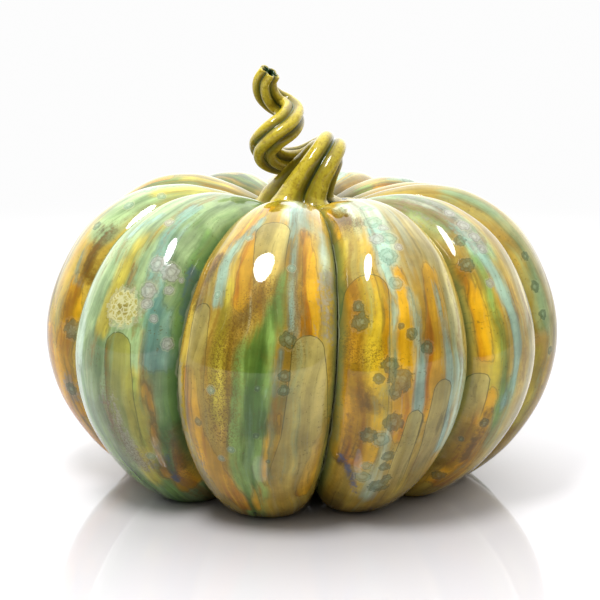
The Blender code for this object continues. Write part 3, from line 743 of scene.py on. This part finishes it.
@dataclass(frozen=True)
class CrystallineGlaze:
    """The body's glaze: runs of many colours over a honey ground, with crystals grown in it."""

    ground: Colour = (0.40, 0.285, 0.04)
    toasted: Colour = (0.38, 0.23, 0.025)
    straw: Colour = (0.38, 0.35, 0.12)
    dust: Colour = (0.12, 0.065, 0.01)
    speck: Colour = (0.10, 0.075, 0.015)
    groove_green: Colour = (0.10, 0.20, 0.07)
    # Dark pooled-glaze colour, also the dark line round some washes and the painted shade at the bottom of
    # each groove.
    pool: Colour = (0.04, 0.05, 0.012)
    # Painted highlight: the pale line of reflected light beside each groove.
    thin: Colour = (0.42, 0.44, 0.28)
    root: Colour = (0.17, 0.15, 0.02)
    halo: Colour = (0.44, 0.44, 0.28)
    roughness: float = 0.045
    crystal_roughness: float = 0.2
    index: float = 1.52

    def make(self, groups: GlazeGroups, spots: Spots) -> bpy.types.Material:
        """Builds the material.

        Args:
            groups: The shared shader groups.
            spots: The middle and radius of each kind's crystals.

        Returns:
            The material.
        """
        made, graph, shader = new_material("crystalline_glaze")
        set_glass_coat(shader, self.index)
        flow = graph.field_vector("flow")
        here = graph.add("TexCoord", {}).outputs["Object"]
        colour = self._ground(graph, groups, flow)
        for number, (wash, look) in enumerate(WASHES.items()):
            noise = graph.place(groups.streaks, Flow=flow, Scale=look.scale, Stretch=0.1, Seed=3.7 * number,
                                Mottle=look.mottle)["Value"]
            strength = look.strength
            if look.fades:
                strength = graph.math("MULTIPLY", graph.field("fade"), look.strength)
            depth = graph.blend(graph.step(noise, 0.40, 0.58), look.thick, look.thin)
            laid = graph.place(
                groups.run, Under=colour, Wash=depth, Field=graph.field(wash.value), Noise=noise,
                Ragged=look.ragged, Edge=look.edge, Strength=strength,
            )
            colour = laid["Colour"]
            if look.outline:
                dark = graph.math("MULTIPLY", strength, look.outline)
                line = graph.math("MULTIPLY", laid["Outline"], dark)
                colour = graph.blend(line, colour, self.pool)
        colour = self._veins(graph, groups, flow, colour)
        colour = self._pools_and_groove_light(graph, flow, colour)
        colour, crystal = self._crystals(graph, groups, here, flow, colour, spots)
        self._surface(graph, groups, shader, here, crystal)
        graph.put(shader.inputs["Base Color"], colour)
        return made

    def _ground(self, graph: Graph, groups: GlazeGroups, flow: Socket) -> Socket:
        """Streaks the honey ground with paler and browner glaze."""
        broad = graph.place(groups.streaks, Flow=flow, Scale=60.0, Stretch=0.12, Seed=11.0)["Value"]
        fine = graph.place(groups.streaks, Flow=flow, Scale=150.0, Stretch=0.06, Seed=17.0)["Value"]
        warm = graph.blend(graph.step(broad, 0.38, 0.62), self.ground, self.toasted)
        return graph.blend(graph.step(fine, 0.5, 0.7, 0.0, 0.4), warm, self.straw)

    def _veins(self, graph: Graph, groups: GlazeGroups, flow: Socket, colour: Socket) -> Socket:
        """Varies the glaze as it ran: deep and thin streaks, fine veins, and brown dust and specks."""
        deep = graph.place(groups.streaks, Flow=flow, Scale=85.0, Stretch=0.05, Seed=31.0)["Value"]
        value = graph.step(deep, 0.36, 0.64, 1.3, 0.72)
        cloud = graph.step(graph.noise(flow, 55.0, 4.0, 0.6), 0.3, 0.7, 0.8, 1.2)
        value = graph.math("MULTIPLY", value, cloud)
        tone = graph.add("CombineXYZ", {0: value, 1: value, 2: value}).outputs[0]
        colour = graph.blend(1.0, colour, tone, "MULTIPLY")
        for vein in VEINS:
            drawn = graph.place(
                groups.streaks, Flow=flow, Scale=vein.scale, Stretch=vein.stretch, Seed=vein.seed,
                Mottle=vein.mottle,
            )["Value"]
            share = graph.step(drawn, vein.begin, vein.full, 0.0, vein.strength)
            colour = graph.blend(share, colour, vein.colour)
        grain = graph.noise(flow, 1100.0, 4.0, 0.7)
        dusty = graph.step(graph.field("dust"), 0.2, 0.75)
        dust = graph.math("MULTIPLY", dusty, graph.step(grain, 0.47, 0.6))
        colour = graph.blend(graph.math("MULTIPLY", dust, 0.8), colour, self.dust)
        specks = graph.place(groups.specks, Vector=flow, Scale=650.0, Drift=50.0, Share=0.32)["Mask"]
        return graph.blend(graph.math("MULTIPLY", specks, 0.5), colour, self.speck)

    def _pools_and_groove_light(self, graph: Graph, flow: Socket, colour: Socket) -> Socket:
        """Darkens the glaze that pooled in the grooves, with painted shade at their bottoms and a painted
        highlight beside them, and lets the stem's glaze run onto the crown.
        """
        noise = graph.noise(flow, 70.0, 3.0)
        groove = graph.stirred(graph.field("groove"), noise, 0.25)
        green = graph.math("MULTIPLY", graph.step(groove, 0.45, 0.75), 0.55)
        colour = graph.blend(green, colour, self.groove_green)
        # Painted highlight: a pale band beside the groove, standing in for reflected light.
        thin = graph.band(groove, (0.80, 0.85, 0.87, 0.92), 0.7)
        colour = graph.blend(thin, colour, self.thin)
        # Painted shade: the groove's bottom darkened nearly black, over the pooled glaze.
        colour = graph.blend(graph.step(groove, 0.88, 0.96, 0.0, 0.95), colour, self.pool)
        root = graph.stirred(graph.field("down"), noise, 0.03)
        return graph.blend(graph.step(root, 0.05, 0.11, 1.0, 0.0), colour, self.root)

    def _crystals(
        self, graph: Graph, groups: GlazeGroups, here: Socket, flow: Socket, colour: Socket,
        spots: Spots,
    ) -> tuple[Socket, Socket]:
        """Grows the crystals.

        Args:
            graph: The material's graph.
            groups: The shared shader groups.
            here: The place on the body.
            flow: The way the glaze flowed.
            colour: The colour under the crystals.
            spots: The middle and radius of each kind's crystals.

        Returns:
            The colour, and a mask of all crystals.
        """
        ragged = graph.noise(here, 420.0, 3.0, 0.6)
        waves = graph.add("TexNoise", {"Vector": here, "Scale": 500.0}).outputs["Color"]
        wavy = graph.vector("MULTIPLY_ADD", waves, (0.0016, 0.0016, 0.0016), here)
        grown = graph.add("TexVoronoi", {"Vector": wavy, "Scale": 300.0}, feature="DISTANCE_TO_EDGE")
        cells = grown.outputs[0]
        needle = graph.step(cells, 0.03, 0.16, 1.0, 0.0)
        every = None
        for bloom, look in BLOOMS.items():
            nearest = None
            for middle, radius in spots.get(bloom, []):
                away = graph.math("DIVIDE", graph.vector("DISTANCE", here, tuple(middle)), radius)
                nearest = away if nearest is None else graph.math("MINIMUM", nearest, away)
            if nearest is None:
                continue
            grown = graph.place(groups.bloom, Distance=nearest, Noise=ragged, Ragged=look.ragged)
            inside = graph.blend(grown["Core"], look.disc, look.core)
            inside = graph.blend(graph.math("MULTIPLY", grown["Ring"], 0.6), inside, look.rim)
            inside = graph.blend(graph.math("MULTIPLY", needle, look.needles), inside, look.rim)
            inside = graph.blend(graph.math("MULTIPLY", grown["Rim"], 0.85), inside, look.rim)
            mask = graph.math("MULTIPLY", grown["Disc"], look.strength)
            colour = graph.blend(graph.math("MULTIPLY", grown["Halo"], look.halo), colour, self.halo)
            colour = graph.blend(mask, colour, inside)
            every = mask if every is None else graph.math("MAXIMUM", every, mask)
        return colour, every

    def _surface(
        self, graph: Graph, groups: GlazeGroups, shader: bpy.types.Node, here: Socket, crystal: Socket
    ) -> None:
        """Sets the gloss, and raises the crystals and ripples."""
        rough = graph.step(crystal, 0.2, 0.9, self.roughness, self.crystal_roughness)
        graph.put(shader.inputs["Roughness"], rough)
        ripple = graph.place(groups.ripple, Vector=here)["Height"]
        height = graph.math("MULTIPLY_ADD", crystal, 0.35, ripple)
        bump = graph.add("Bump", {"Strength": 0.25, "Distance": 0.0006, "Height": height})
        graph.put(shader.inputs["Normal"], bump.outputs[0])


@dataclass(frozen=True)
class OliveGlaze:
    """The stem's glaze: olive green, golden where it thins over the flutes, nearly black where it pools,
    with painted shade inside the tube.
    """

    thin: Colour = (0.50, 0.40, 0.035)
    thick: Colour = (0.18, 0.15, 0.01)
    pool: Colour = (0.035, 0.06, 0.012)
    brown: Colour = (0.17, 0.09, 0.006)
    # Painted shade: the inside of the hollow stem is painted nearly black.
    deep: Colour = (0.02, 0.05, 0.02)
    roughness: float = 0.08
    index: float = 1.52

    def make(self, groups: GlazeGroups) -> bpy.types.Material:
        """Builds the material from the shared shader groups."""
        made, graph, shader = new_material("olive_glaze")
        set_glass_coat(shader, self.index)
        flow = graph.field_vector("flow")
        here = graph.add("TexCoord", {}).outputs["Object"]
        streak = graph.place(groups.streaks, Flow=flow, Scale=260.0, Stretch=0.15, Seed=5.0)["Value"]
        valley = graph.stirred(graph.field("valley"), streak, 0.7)
        colour = graph.blend(graph.step(valley, 0.0, 0.5), self.thin, self.thick)
        mottle = graph.step(graph.noise(here, 420.0, 5.0, 0.7), 0.46, 0.64, 0.0, 0.5)
        colour = graph.blend(mottle, colour, self.brown)
        colour = graph.blend(graph.step(valley, 0.55, 0.95, 0.0, 0.9), colour, self.pool)
        # Painted shade: the inner wall of the tube painted nearly black.
        colour = graph.blend(graph.field("hollow"), colour, self.deep)
        graph.put(shader.inputs["Base Color"], colour)
        rough = graph.step(streak, 0.3, 0.7, self.roughness, self.roughness + 0.08)
        graph.put(shader.inputs["Roughness"], rough)
        ripple = graph.place(groups.ripple, Vector=here, Broad=90.0, Fine=600.0, Fineness=0.2)["Height"]
        bump = graph.add("Bump", {"Strength": 0.3, "Distance": 0.0005, "Height": ripple})
        graph.put(shader.inputs["Normal"], bump.outputs[0])
        return made


@dataclass(frozen=True)
class FiredSlip:
    """Bare stoneware: the joint under the stem and the inside of the body."""

    name: str = "fired_slip"
    clay: Colour = (0.50, 0.40, 0.29)
    pale: Colour = (0.58, 0.49, 0.37)
    grog: Colour = (0.24, 0.16, 0.10)
    roughness: float = 0.72

    def make(self, groups: GlazeGroups) -> bpy.types.Material:
        """Builds the material from the shared shader groups."""
        made, graph, shader = new_material(self.name)
        shader.inputs["Metallic"].default_value = 0.0
        here = graph.add("TexCoord", {}).outputs["Object"]
        cloud = graph.noise(here, 60.0, 4.0)
        specks = graph.place(groups.specks, Vector=here, Scale=1300.0, Drift=200.0, Share=0.5)["Mask"]
        colour = graph.blend(graph.step(cloud, 0.35, 0.65), self.clay, self.pale)
        colour = graph.blend(graph.math("MULTIPLY", specks, 0.8), colour, self.grog)
        graph.put(shader.inputs["Base Color"], colour)
        grain = graph.noise(here, 900.0, 4.0)
        rough = graph.step(grain, 0.3, 0.7, self.roughness - 0.1, self.roughness + 0.1)
        graph.put(shader.inputs["Roughness"], rough)
        bump = graph.add("Bump", {"Strength": 0.5, "Distance": 0.0003, "Height": grain})
        graph.put(shader.inputs["Normal"], bump.outputs[0])
        return made


# ------------------------------------------------------------------------------ the pumpkin


@dataclass(frozen=True)
class Rib:
    """One rib: its width in degrees, the swell of its crest and the swell of its lower flank."""

    width: float
    swell: float
    flank: float = 0.0


RIBS = (
    Rib(34.0, -0.0025, 0.001), Rib(28.5, -0.0030), Rib(25.0, 0.0), Rib(24.0, -0.0030),
    Rib(24.5, -0.0025), Rib(25.0, 0.0), Rib(28.0, 0.0), Rib(31.0, 0.0005),
    Rib(32.0, 0.0030), Rib(34.0, 0.0010), Rib(36.0, 0.0005, 0.001), Rib(38.0, -0.0025, 0.004),
)

# The crest of a rib from crown to base: share of the radius, share of the height, share of the groove depth.
CREST = (
    (0.148, 0.924, 0.17), (0.222, 0.950, 0.23), (0.337, 0.982, 0.44), (0.485, 1.000, 0.78),
    (0.660, 0.971, 1.00), (0.835, 0.865, 1.00), (0.956, 0.684, 1.00), (1.000, 0.497, 1.00),
    (0.956, 0.304, 1.00), (0.835, 0.135, 1.00), (0.687, 0.020, 1.00), (0.552, -0.030, 0.91),
    (0.417, -0.004, 0.62), (0.296, 0.064, 0.30), (0.148, 0.094, 0.13),
)


@dataclass
class RibbedBody:
    """The hollow ribbed body: a glazed outside and a bare inside, joined at the crown and at the vent."""

    radius: float = 0.1485
    height: float = 0.171
    groove_depth: float = 0.023
    wall: float = 0.006
    opening: float = 0.008
    vent: float = 0.005
    crown_seat: float = 0.915
    base_dome: float = 0.098
    first_groove: float = 7.5
    spiral: float = 9.7
    spiral_middle: float = 0.49
    flank_middle: float = 0.714
    flank_reach: float = 0.186
    fullness: float = 2.3
    steps_per_rib: int = 44
    rings: int = 150
    inner_rings: int = 16
    hand_unevenness: float = 0.0004
    steady_foot: float = 0.03
    crest_samples: int = 600

    def __post_init__(self) -> None:
        """Draws the crest, and finds where the ribs' axis stands in the frame."""
        rows = [(self.opening, self.crown_seat * self.height, 0.0)]
        rows += [(r * self.radius, z * self.height, depth * self.groove_depth) for r, z, depth in CREST]
        rows.append((self.vent, self.base_dome * self.height, 0.0))
        self.crest = evenly(smooth_line(rows), self.crest_samples, 2)
        along = np.gradient(self.crest[:, :2], axis=0)
        self.along = along / np.linalg.norm(along, axis=1)[:, None]
        self.length = float(np.linalg.norm(np.diff(self.crest[:, :2], axis=0), axis=1).sum())
        self.starts = self.first_groove + np.cumsum([0.0] + [rib.width for rib in RIBS])[:-1]
        self.axis = np.zeros(3)
        rib, across, down = self.grid(self.rings)
        points = self.surface(rib, across, down)
        low, high = (np.array(corner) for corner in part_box("body_shell"))
        middle = (low + high) / 2 - (points.min(axis=0) + points.max(axis=0)) / 2
        self.axis = np.array([middle[0], middle[1], 0.0])

    def grid(self, rings: int) -> tuple[np.ndarray, np.ndarray, np.ndarray]:
        """Lists the rib, the place across it and the place down it of each point, ring by ring."""
        part = np.arange(self.steps_per_rib) / self.steps_per_rib
        across = np.tile(-np.cos(math.pi * part), len(RIBS))
        rib = np.repeat(np.arange(len(RIBS)), self.steps_per_rib)
        down = np.linspace(0.0, 1.0, rings)
        count = len(rib)
        return np.tile(rib, rings), np.tile(across, rings), np.repeat(down, count)

    def angle(self, rib: np.ndarray, across: np.ndarray) -> np.ndarray:
        """Angle of a place on a rib before the spiral turns it, in degrees from the front."""
        width = np.array([item.width for item in RIBS])[rib]
        return self.starts[rib] + width * (across + 1) / 2

    def surface(
        self, rib: np.ndarray, across: np.ndarray, down: np.ndarray, sink: float = 0.0
    ) -> np.ndarray:
        """Finds points on the body.

        Args:
            rib: Each point's rib.
            across: How far across the rib it lies.
            down: How far down the crest it lies.
            sink: How deep under the glazed surface it lies.

        Returns:
            One point a row, in the frame.
        """
        at = np.linspace(0.0, 1.0, len(self.crest))
        radius, height, depth = (np.interp(down, at, column) for column in self.crest.T)
        along_r, along_z = (np.interp(down, at, column) for column in self.along.T)
        swell = np.array([item.swell for item in RIBS])[rib]
        flank = np.array([item.flank for item in RIBS])[rib]
        low = np.clip(1 - ((down - self.flank_middle) / self.flank_reach) ** 2, 0, None) ** 2
        full = (1 - np.abs(across) ** self.fullness) ** 0.5
        depth = np.clip(depth, 0, None)
        out = -sink - depth * (1 - full) + (depth / self.groove_depth * swell + low * flank) * full
        reach = radius - out * along_z
        height = np.maximum(height + out * along_r, sink)
        around = np.radians(self.angle(rib, across) + self.spiral * (self.spiral_middle - down))
        return np.stack([reach * np.sin(around), -reach * np.cos(around), height], axis=1) + self.axis

    def unevenness(self, points: np.ndarray) -> np.ndarray:
        """Pushes points in and out a little, as a hand-pressed form has it."""
        x, y, z = (points / self.radius).T
        wave = np.sin(5 * x + 2 * z + 1) * np.sin(4 * y - 3 * z) + 0.5 * np.sin(9 * x - 7 * y + 6 * z)
        fade = np.clip(points[:, 2] / self.steady_foot, 0, 1)
        outward = points * np.array([1.0, 1.0, 0.0])
        outward /= np.linalg.norm(outward, axis=1)[:, None] + 1e-9
        return points + outward * (wave * fade * self.hand_unevenness)[:, None]

    def fields(
        self, laid: list[Run], rib: np.ndarray, across: np.ndarray, down: np.ndarray
    ) -> dict[str, np.ndarray]:
        """Finds how far inside the runs of each colour every point lies.

        Args:
            laid: The runs.
            rib: Each point's rib.
            across: How far across the rib it lies.
            down: How far down the crest it lies.

        Returns:
            By name: for each colour, 1 well inside its runs, 0.5 at their edges and 0 well outside, and how
            far a tongue has faded.
        """
        at = np.linspace(0.0, 1.0, len(self.crest))
        width = np.radians(np.array([item.width for item in RIBS]))[rib] / 2
        scale = width * np.interp(down, at, self.crest[:, 0])
        inside = {wash: np.full(len(rib), -1.0) for wash in Wash}
        fade = np.ones(len(rib))
        for run in laid:
            mine = rib == run.rib
            best = np.full(mine.sum(), -1.0)
            down_run = np.ones(mine.sum())
            spans = list(zip(run.places, run.places[1:]))
            for number, (first, last) in enumerate(spans):
                x = (across[mine] - first[0]) * scale[mine]
                y = (down[mine] - first[1]) * self.length
                span_x = (last[0] - first[0]) * scale[mine]
                span_y = (last[1] - first[1]) * self.length
                part = np.clip((x * span_x + y * span_y) / (span_x**2 + span_y**2), 0, 1)
                share = (number + part) / len(spans)
                half = run.start + (run.end - run.start) * share
                depth = half - np.hypot(x - part * span_x, y - part * span_y)
                down_run = np.where(depth > best, 1 - share**3, down_run)
                best = np.maximum(best, depth)
            if run.wash in WASHES and WASHES[run.wash].fades:
                fade[mine] = np.where(best > -FADE_MARGIN, down_run, fade[mine])
            inside[run.wash][mine] = np.maximum(inside[run.wash][mine], best)
        found = {"fade": fade}
        for wash, value in inside.items():
            found[wash.value] = np.clip(0.5 + value / (2 * FIELD_REACH), 0, 1)
        return found

    def build(self, laid: list[Run]) -> bpy.types.Object:
        """Builds the body's mesh with its glaze plan stored on its points.

        Args:
            laid: The runs of glaze.

        Returns:
            The body, its outer faces set to the first material slot and its inner faces to the second.
        """
        rib, across, down = self.grid(self.rings)
        outside = self.unevenness(self.surface(rib, across, down))
        inner = self.grid(self.inner_rings)
        inside = self.surface(*inner, sink=self.wall)
        around = len(RIBS) * self.steps_per_rib
        inside = inside.reshape(self.inner_rings, around, 3)[::-1].reshape(-1, 3)
        points = np.vstack([outside, inside])
        total = self.rings + self.inner_rings
        faces = grid_faces(total, around, closed=True)
        body = mesh_object("pumpkin_body", points, faces)
        outer = np.arange(len(faces)) < (self.rings - 1) * around
        body.data.polygons.foreach_set("material_index", np.where(outer, 0, 1).astype(np.int32))
        blank = np.zeros(len(inside))
        angle = np.radians(self.angle(rib, across))
        round_axis = self.radius * np.stack([np.sin(angle), -np.cos(angle)], axis=1)
        flow = np.column_stack([round_axis, down * self.length])
        store(body, "flow", np.vstack([flow, np.zeros((len(inside), 3))]))
        store(body, "groove", np.concatenate([1 - (1 - np.abs(across) ** self.fullness) ** 0.5, blank]))
        store(body, "down", np.concatenate([down, blank]))
        for name, values in self.fields(laid, rib, across, down).items():
            store(body, name, np.concatenate([values, blank]))
        return body

    def spots(self, grown: list[Crystal]) -> Spots:
        """Finds the middle of each crystal on the surface.

        Args:
            grown: The crystals.

        Returns:
            For each kind, the middles and radii.
        """
        found: Spots = {}
        for item in grown:
            point = self.surface(np.array([item.rib]), np.array([item.across]), np.array([item.down]))
            found.setdefault(item.bloom, []).append((Vector(self.unevenness(point)[0]), item.radius))
        return found

    def crown(self) -> BVHTree:
        """The top of the glazed surface, for the stem to settle on."""
        rib, across, down = self.grid(self.rings)
        rings = self.rings // 4
        around = len(RIBS) * self.steps_per_rib
        points = self.unevenness(self.surface(rib, across, down))[: rings * around]
        return BVHTree.FromPolygons([Vector(point) for point in points], grid_faces(rings, around))


# The stem's middle line: x and y in millimetres, height as a share of the rise, radius as a share of the
# trunk's, and the turn of its flutes in degrees. It leans to the right, passes behind itself and winds up to
# the left.
STEM_LINE = (
    (0.0, 0.0, -0.115, 2.94, 0), (0.0, 0.0, -0.028, 2.94, 0), (0.0, 0.0, 0.017, 2.43, 0),
    (0.0, 0.0, 0.075, 1.84, 0), (1.4, -1.0, 0.145, 1.37, -4), (4.6, -2.0, 0.228, 1.16, -6),
    (9.2, -2.0, 0.324, 1.00, -8), (13.3, 3.0, 0.405, 0.90, -8), (14.0, 14.0, 0.422, 0.78, -8),
    (9.5, 25.0, 0.379, 0.71, -8), (-1.2, 29.0, 0.321, 0.65, -10), (-13.0, 22.0, 0.322, 0.63, -12),
    (-20.7, 9.0, 0.384, 0.65, -14), (-22.1, -4.0, 0.473, 0.66, -16), (-17.0, -12.0, 0.554, 0.68, -18),
    (-9.7, -9.0, 0.624, 0.68, -18), (-7.2, 1.0, 0.687, 0.65, -16), (-11.0, 9.0, 0.738, 0.60, -14),
    (-16.8, 9.0, 0.783, 0.57, -10), (-21.0, 4.0, 0.852, 0.56, -4), (-22.0, 0.0, 0.935, 0.53, 0),
    (-19.1, -2.0, 1.000, 0.49, 0),
)


@dataclass
class CurledStem:
    """The hollow five-fluted stem: its root spreads over the crown, and its tip is open."""

    radius: float = 0.0136
    wall: float = 0.0018
    rise: float = 0.0782
    flutes: int = 5
    flute_floor: float = 0.62
    flute_rounding: float = 0.75
    flute_start: float = 20.0
    steps_per_flute: int = 14
    rings: int = 300
    fillet: float = 0.003
    sink: float = 0.0012

    def build(self, body: RibbedBody) -> bpy.types.Object:
        """Builds the stem on a body.

        Args:
            body: The body that it grows from.

        Returns:
            The stem.
        """
        seat = body.crown_seat * body.height
        rows = [
            (x * MM, y * MM, seat + z * self.rise, size * self.radius, roll)
            for x, y, z, size, roll in STEM_LINE
        ]
        line = evenly(smooth_line(rows), self.rings, 3)
        middle, size = line[:, :3] + body.axis, line[:, 3]
        ahead = np.gradient(middle, axis=0)
        ahead /= np.linalg.norm(ahead, axis=1)[:, None]
        around = self.flutes * self.steps_per_flute
        steps = np.arange(around) * math.tau / around
        crest = np.abs(np.cos(self.flutes * steps / 2)) ** self.flute_rounding
        flute = self.flute_floor + (1 - self.flute_floor) * crest
        side = np.array([1.0, 0.0, 0.0])
        outer, inner = [], []
        for centre, heading, half, roll in zip(middle, ahead, size, line[:, 4]):
            side = side - heading * np.dot(side, heading)
            side /= np.linalg.norm(side)
            other = np.cross(heading, side)
            turn = (steps + math.radians(self.flute_start + roll))[:, None]
            spoke = np.cos(turn) * side + np.sin(turn) * other
            outer.append(centre + spoke * (half * flute)[:, None])
            inner.append(centre + spoke * (half * flute - self.wall)[:, None])
        tip = [outer[-1] * 0.55 + inner[-1] * 0.45 + ahead[-1] * self.wall * 0.35]
        points = np.vstack([*outer, *tip, *inner[::-1]])
        points = self.settle(points, body)
        count = 2 * self.rings + 1
        faces = grid_faces(count, around, closed=True)
        stem = mesh_object("pumpkin_stem", points, [face[::-1] for face in faces])
        travelled = np.concatenate([[0.0], np.cumsum(np.linalg.norm(np.diff(middle, axis=0), axis=1))])
        order = np.concatenate([np.arange(self.rings), [self.rings - 1], np.arange(self.rings)[::-1]])
        ring_flow = np.stack([np.cos(steps) * self.radius, np.sin(steps) * self.radius], axis=1)
        flow = [np.column_stack([ring_flow, np.full(around, travelled[ring])]) for ring in order]
        store(stem, "flow", np.vstack(flow))
        store(stem, "valley", np.tile(1 - crest, count))
        # Marks the inner wall, which the stem's glaze paints nearly black as painted shade.
        hollow = np.repeat(np.arange(count) > self.rings, around).astype(float)
        store(stem, "hollow", hollow)
        return stem

    def settle(self, points: np.ndarray, body: RibbedBody) -> np.ndarray:
        """Lifts the root's points softly onto the crown, so that it spreads into it without a step.

        Args:
            points: The stem's points.
            body: The body under it.

        Returns:
            The points, those of the root lifted.
        """
        crown = body.crown()
        moved = points.copy()
        for number in np.flatnonzero(points[:, 2] < body.height * 1.1):
            x, y, z = points[number]
            hit = crown.ray_cast(Vector((x, y, 1.0)), Vector((0.0, 0.0, -1.0)))[0]
            if hit is None:
                continue
            over = z - (hit.z - self.sink)
            moved[number, 2] = z + 0.5 * (math.hypot(over, self.fillet) - over)
        return moved


# ------------------------------------------------------------------------------ the studio


@dataclass
class Studio:
    """A white table in a white room that darkens toward the front, one softbox, and the camera."""

    look_at: tuple[float, float, float] = (0.0006, -0.0023, 0.080)
    distance: float = 0.950
    elevation: float = 12.0
    lens: float = 96.5
    shift: tuple[float, float] = (-0.005, 0.0617)
    softbox_place: tuple[float, float, float] = (-0.18, -0.39, 0.85)
    softbox_size: tuple[float, float] = (0.20, 0.40)
    softbox_turn: float = 10.0
    softbox_power: float = 6.6
    front_light: float = 0.10
    front_shine: float = 0.02
    side_light: float = 0.45
    back_light: float = 2.6
    back_shine: float = 1.3
    top_light: float = 1.2
    top_shine: float = 1.0
    table_dim: Colour = (0.52, 0.505, 0.525)
    table_pale: Colour = (0.54, 0.53, 0.545)
    table_roughness: float = 0.035
    near_white: Colour = (0.95, 0.91, 0.96)
    far_white: Colour = (1.0, 1.0, 1.0)
    plain_white: float = 0.98
    table_radius: float = 6.0
    table_gap: float = 0.0002

    def build(self) -> None:
        """Builds the table, the lights and the camera."""
        self.table()
        self.softbox()
        self.room()
        self.camera()
        bpy.context.scene.view_settings.view_transform = "Standard"

    def table(self) -> None:
        """Lays a round glossy white table top that fades to plain white away from the object."""
        steps = 96
        turn = np.arange(steps) * math.tau / steps
        rim = np.stack([np.cos(turn), np.sin(turn), np.zeros(steps)], axis=1) * self.table_radius
        rim[:, 2] = -self.table_gap
        top = mesh_object("table_top", rim, [tuple(range(steps))])
        made, graph, shader = new_material("white_table")
        here = graph.add("TexCoord", {}).outputs["Object"]
        cloud = graph.noise(here, 3.0, 2.0)
        graph.put(shader.inputs["Base Color"], graph.blend(cloud, self.table_dim, self.table_pale))
        shader.inputs["Roughness"].default_value = self.table_roughness
        away = graph.step(graph.vector("LENGTH", here), 0.25, 1.3)
        ahead = graph.step(graph.add("SeparateXYZ", {0: here}).outputs[1], -0.3, 0.5)
        pale = graph.blend(ahead, self.near_white, self.far_white)
        white = graph.add("Emission", {"Color": pale, "Strength": self.plain_white}).outputs[0]
        mixed = graph.add("MixShader", {0: away, 1: shader.outputs[0], 2: white}).outputs[0]
        graph.put(made.node_tree.nodes["Material Output"].inputs["Surface"], mixed)
        top.data.materials.append(made)

    def softbox(self) -> None:
        """Hangs the oval softbox over the front, aimed at the object."""
        light = bpy.data.lights.new("softbox", "AREA")
        light.shape = "ELLIPSE"
        light.size, light.size_y = self.softbox_size
        light.energy = self.softbox_power
        lamp = bpy.data.objects.new("softbox", light)
        lamp.location = self.softbox_place
        lamp.rotation_mode = "QUATERNION"
        aim = (Vector(self.look_at) - lamp.location).to_track_quat("-Z", "Y")
        lamp.rotation_quaternion = aim @ Quaternion((0.0, 0.0, 1.0), math.radians(self.softbox_turn))
        bpy.context.scene.collection.objects.link(lamp)

    def room(self) -> None:
        """Makes the room: white behind, darker toward the front, and plain white to the camera."""
        world = bpy.data.worlds.new("white_room")
        bpy.context.scene.world = world
        world.use_nodes = True
        graph = Graph(world.node_tree)
        heading = graph.add("TexCoord", {}).outputs["Generated"]
        parts = graph.add("SeparateXYZ", {0: heading})
        path = graph.add("LightPath", {})
        rear = graph.step(path.outputs["Is Glossy Ray"], 0.0, 1.0, self.back_light, self.back_shine)
        front = graph.step(path.outputs["Is Glossy Ray"], 0.0, 1.0, self.front_light, self.front_shine)
        side = graph.step(parts.outputs[1], -0.8, 0.0, front, self.side_light)
        back = graph.math("ADD", side, graph.step(parts.outputs[1], 0.0, 0.8, 0.0, rear))
        above = graph.step(path.outputs["Is Glossy Ray"], 0.0, 1.0, self.top_light, self.top_shine)
        back = graph.math("ADD", back, graph.step(parts.outputs[2], 0.35, 0.95, 0.0, above))
        graph.put(world.node_tree.nodes["Background"].inputs["Strength"], back)
        lit = world.node_tree.nodes["Background"]
        lit.inputs["Color"].default_value = (*self.far_white, 1.0)
        plain = graph.add("Background", {"Color": self.far_white, "Strength": self.plain_white})
        seen = path.outputs["Is Camera Ray"]
        mixed = graph.add("MixShader", {0: seen, 1: lit.outputs[0], 2: plain.outputs[0]}).outputs[0]
        graph.put(world.node_tree.nodes["World Output"].inputs["Surface"], mixed)

    def camera(self) -> None:
        """Places the camera in front of the object, a little above it."""
        lens = bpy.data.cameras.new("camera")
        lens.lens = self.lens
        lens.sensor_width = 36.0
        lens.shift_x, lens.shift_y = self.shift
        lens.clip_end = 50.0
        eye = bpy.data.objects.new("camera", lens)
        tilt = math.radians(self.elevation)
        back = Vector((0.0, -math.cos(tilt), math.sin(tilt)))
        eye.location = Vector(self.look_at) + back * self.distance
        eye.rotation_mode = "QUATERNION"
        eye.rotation_quaternion = (-back).to_track_quat("-Z", "Y")
        bpy.context.scene.collection.objects.link(eye)
        bpy.context.scene.camera = eye


# ------------------------------------------------------------------------------ assembly


UNSEEN_RIBS = (3, 4, 5, 6, 7, 8)
CHANCE_SEED = 12


def dress(item: bpy.types.Object, *finishes: bpy.types.Material) -> None:
    """Gives a piece its finishes in place of any it had."""
    item.data.materials.clear()
    for finish in finishes:
        item.data.materials.append(finish)


def attach(item: bpy.types.Object, slot: str, *nodes: str) -> None:
    """Makes a piece ride on the frame and stand for its CAD nodes.

    Args:
        item: The piece.
        slot: Not used.
        nodes: The CAD nodes that it stands for.
    """
    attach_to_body(item, "root")
    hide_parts(*nodes)
    LOG.info("%s: %d points, %d faces", item.name, len(item.data.vertices), len(item.data.polygons))


def main() -> None:
    """Builds the pumpkin and the studio."""
    logging.basicConfig(level=logging.INFO, format="%(name)s: %(message)s")
    groups = GlazeGroups()
    more_runs, more_crystals = scattered_plan(UNSEEN_RIBS, CHANCE_SEED)
    laid = [*GLAZE_RUNS, *more_runs]
    grown = [*CRYSTALS, *more_crystals]

    body_form = RibbedBody()
    body = body_form.build(laid)
    clay = FiredSlip("bare_clay")
    dress(body, CrystallineGlaze().make(groups, body_form.spots(grown)), clay.make(groups))
    attach(body, "crystalline_glaze", "body_shell")

    stem = CurledStem().build(body_form)
    dress(stem, OliveGlaze().make(groups))
    attach(stem, "olive_glaze", "stem")

    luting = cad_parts["luting_ring"]
    dress(luting, FiredSlip().make(groups))
    LOG.info("%s: the packed node, dressed", luting.name)

    Studio().build()


if __name__ == "__main__":
    main()
